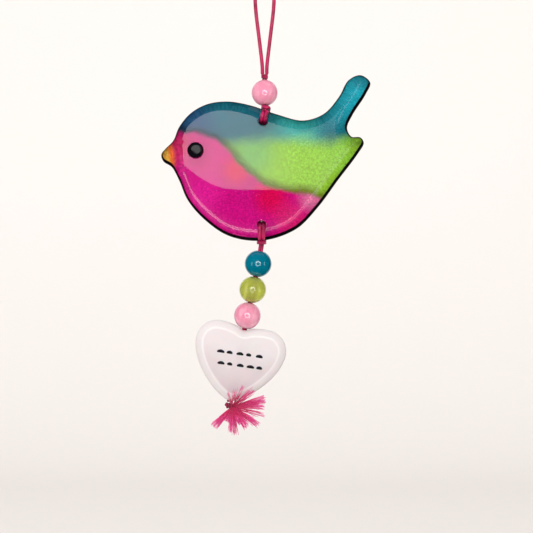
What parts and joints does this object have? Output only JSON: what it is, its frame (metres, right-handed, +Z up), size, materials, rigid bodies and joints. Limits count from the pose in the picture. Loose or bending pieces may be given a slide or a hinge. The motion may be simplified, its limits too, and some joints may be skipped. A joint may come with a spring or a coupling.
{
  "type": "stained glass suncatcher",
  "caption": "Hanging glass bird ornament in teal, green and magenta, with a cord loop and glass beads, and a frosted glass heart with a frayed cord end below.",
  "frame": {"origin": "crown of the hanging loop, at the middle of the cord", "axes": "+Z up, the domed front faces -Y, +X towards the bird's tail"},
  "size_m": [0.0804, 0.014, 0.1724],
  "materials": {
    "satin_cord": "shiny satin braid",
    "pink_glass": "milky translucent, polished",
    "teal_glass": "translucent, polished",
    "green_glass": "translucent, polished",
    "stained_glass": "clear domed glass over grainy translucent enamel",
    "black_glass": "opaque, glossy",
    "frosted_glass": "milky, softly frosted"
  },
  "bodies": {
    "root": {"hanging_loop": "satin_cord", "hanging_knot": "satin_cord", "upper_cord": "satin_cord", "lower_cord": "satin_cord", "frayed_end": "satin_cord", "top_bead": "pink_glass", "pink_bead": "pink_glass", "teal_bead": "teal_glass", "green_bead": "green_glass", "bird": "stained_glass", "eye": "black_glass", "heart": "frosted_glass"}
  },
  "joints": []
}
